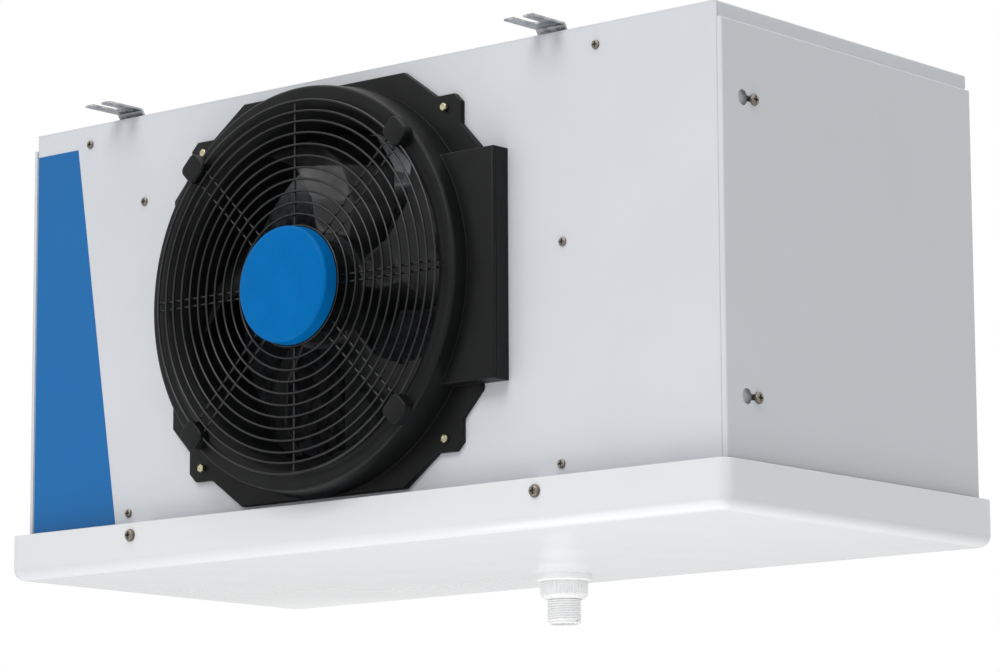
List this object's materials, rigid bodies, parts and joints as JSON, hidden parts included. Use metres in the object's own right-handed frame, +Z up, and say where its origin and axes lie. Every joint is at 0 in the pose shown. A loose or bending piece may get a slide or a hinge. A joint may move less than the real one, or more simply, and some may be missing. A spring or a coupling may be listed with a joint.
{
  "type": "walk-in unit cooler",
  "caption": "Ceiling-hung evaporator unit cooler: white sheet casing, guarded axial fan with blue hub cap, finned coil behind, drip pan with threaded drain, slotted hanging brackets.",
  "frame": {"origin": "midway across the casing and midway along its depth, in the plane of the hanging brackets' top faces", "axes": "+X to the right seen from the fan side, +Y to the rear air intake, +Z up"},
  "size_m": [0.876, 0.4972, 0.5],
  "materials": {
    "white_enamel": "satin white paint",
    "pan_enamel": "gloss white moulded sheet",
    "galvanised": "galvanised sheet",
    "fin_aluminium": "bare fins",
    "copper": "drawn copper tube",
    "black_moulding": "black moulded plastic with a soft sheen",
    "black_wire": "gloss black coated wire",
    "hub_blue": "blue moulded plastic",
    "motor_paint": "black painted motor housing",
    "steel": "ground steel",
    "zinc_screw": "zinc plated",
    "fan_black": "black painted blades",
    "rubber": "black rubber",
    "cable_sheath": "black cable sheath",
    "box_grey": "grey moulded plastic",
    "terminal_white": "terminal strip",
    "drain_white": "white moulded plastic",
    "decal_blue": "blue printed foil"
  },
  "bodies": {
    "casing": {"front_panel": "white_enamel", "top_panel": "white_enamel", "left_end_plate": "galvanised", "right_end_plate": "galvanised", "left_rear_plate": "white_enamel", "right_rear_plate": "white_enamel", "cover_screws": "zinc_screw", "panel_screws": "zinc_screw", "rear_screws": "zinc_screw", "front_hanging_brackets": "galvanised", "rear_hanging_brackets": "galvanised", "bracket_screws": "zinc_screw", "fan_shroud": "black_moulding", "lug_screws": "zinc_screw", "fan_guard": "black_wire", "guard_clips": "black_moulding", "motor_mount_plate": "motor_paint", "hub_cap": "hub_blue", "motor_stator": "motor_paint", "motor_bearings": "steel", "fin_pack": "fin_aluminium", "coil_tubes": "copper", "left_return_bends": "copper", "right_return_bends": "copper", "suction_line": "copper", "liquid_line": "copper", "pipe_grommets": "rubber", "fan_lead": "cable_sheath", "lead_grommets": "rubber", "terminal_box": "box_grey", "terminal_box_lid": "box_grey", "terminal_block": "terminal_white", "pan_catch_tabs": "galvanised", "hinge_fixed_leaves": "steel", "hinge_pins": "steel", "side_decal": "decal_blue"},
    "fan_rotor": {"motor_shaft": "steel", "rotor_shell": "motor_paint", "impeller": "fan_black"},
    "left_side_cover": {"left_cover": "white_enamel"},
    "right_side_cover": {"right_cover": "white_enamel"},
    "pan": {"drip_pan": "pan_enamel", "pan_screws": "zinc_screw", "pan_nuts": "zinc_screw", "hinge_pan_leaves": "steel", "drain_fitting": "drain_white", "drain_gasket": "rubber", "drain_washer": "drain_white", "drain_nut": "drain_white"}
  },
  "joints": [
    {"name": "fan_spin", "type": "hinge", "parent": "casing", "child": "fan_rotor", "pos_m": [-0.033, -0.19, -0.211], "axis": [0, 1, 0], "continuous": true},
    {"name": "left_cover_slide", "type": "slide", "parent": "casing", "child": "left_side_cover", "axis": [0, 1, 0], "range_m": [0, 0.015]},
    {"name": "right_cover_slide", "type": "slide", "parent": "casing", "child": "right_side_cover", "axis": [0, 1, 0], "range_m": [0, 0.015]},
    {"name": "pan_tilt", "type": "hinge", "parent": "casing", "child": "pan", "pos_m": [0, 0.2065, -0.408], "axis": [1, 0, 0], "range_deg": [0, 78]}
  ]
}
